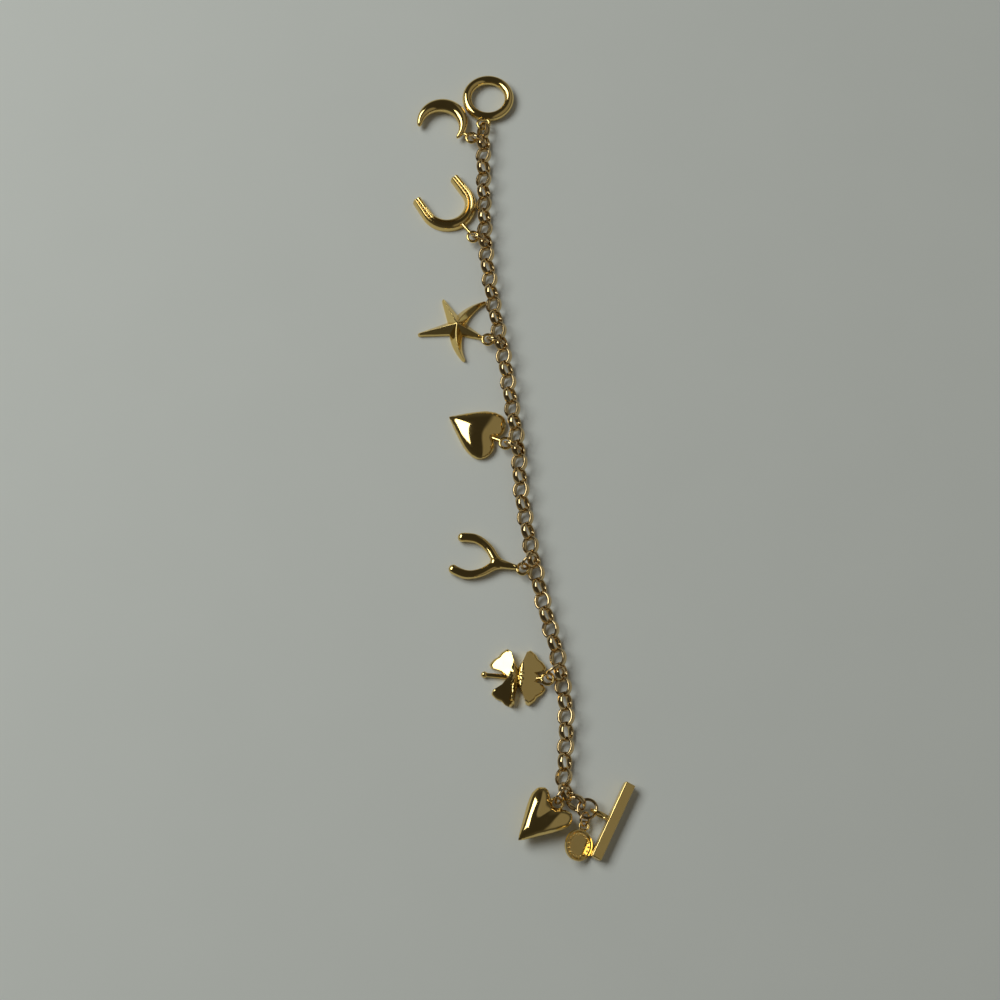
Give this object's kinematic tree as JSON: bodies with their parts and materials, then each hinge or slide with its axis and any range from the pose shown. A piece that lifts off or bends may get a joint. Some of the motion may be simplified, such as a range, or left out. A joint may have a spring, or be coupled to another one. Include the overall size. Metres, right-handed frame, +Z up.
{
  "type": "charm bracelet",
  "caption": "Gold-coloured charm bracelet lying open: a chain of oval links with a ring and bar toggle clasp and small cast charms on jump rings.",
  "frame": {"origin": "centre of the laid out bracelet's box, on the table it lies on", "axes": "+Y along the chain towards the clasp's ring, +Z up from the table, the charms lie on the -X side"},
  "size_m": [0.0508, 0.1966, 0.0052],
  "materials": {
    "charm_gold": "polished",
    "chain_gold": "polished"
  },
  "bodies": {
    "root": {"crescent_charm": "charm_gold", "horseshoe_charm": "charm_gold", "starfish_charm": "charm_gold", "flat_heart_charm": "charm_gold", "wishbone_charm": "charm_gold", "clover_charm": "charm_gold", "puffed_heart_charm": "charm_gold", "round_tag": "charm_gold", "toggle_ring": "charm_gold", "toggle_bar": "charm_gold", "chain": "chain_gold", "toggle_jump_ring": "chain_gold", "crescent_jump_ring": "chain_gold", "horseshoe_jump_ring": "chain_gold", "starfish_jump_ring": "chain_gold", "flat_heart_jump_ring": "chain_gold", "wishbone_jump_ring": "chain_gold", "clover_jump_ring": "chain_gold", "puffed_heart_jump_ring": "chain_gold", "round_tag_jump_ring": "chain_gold"}
  },
  "joints": []
}
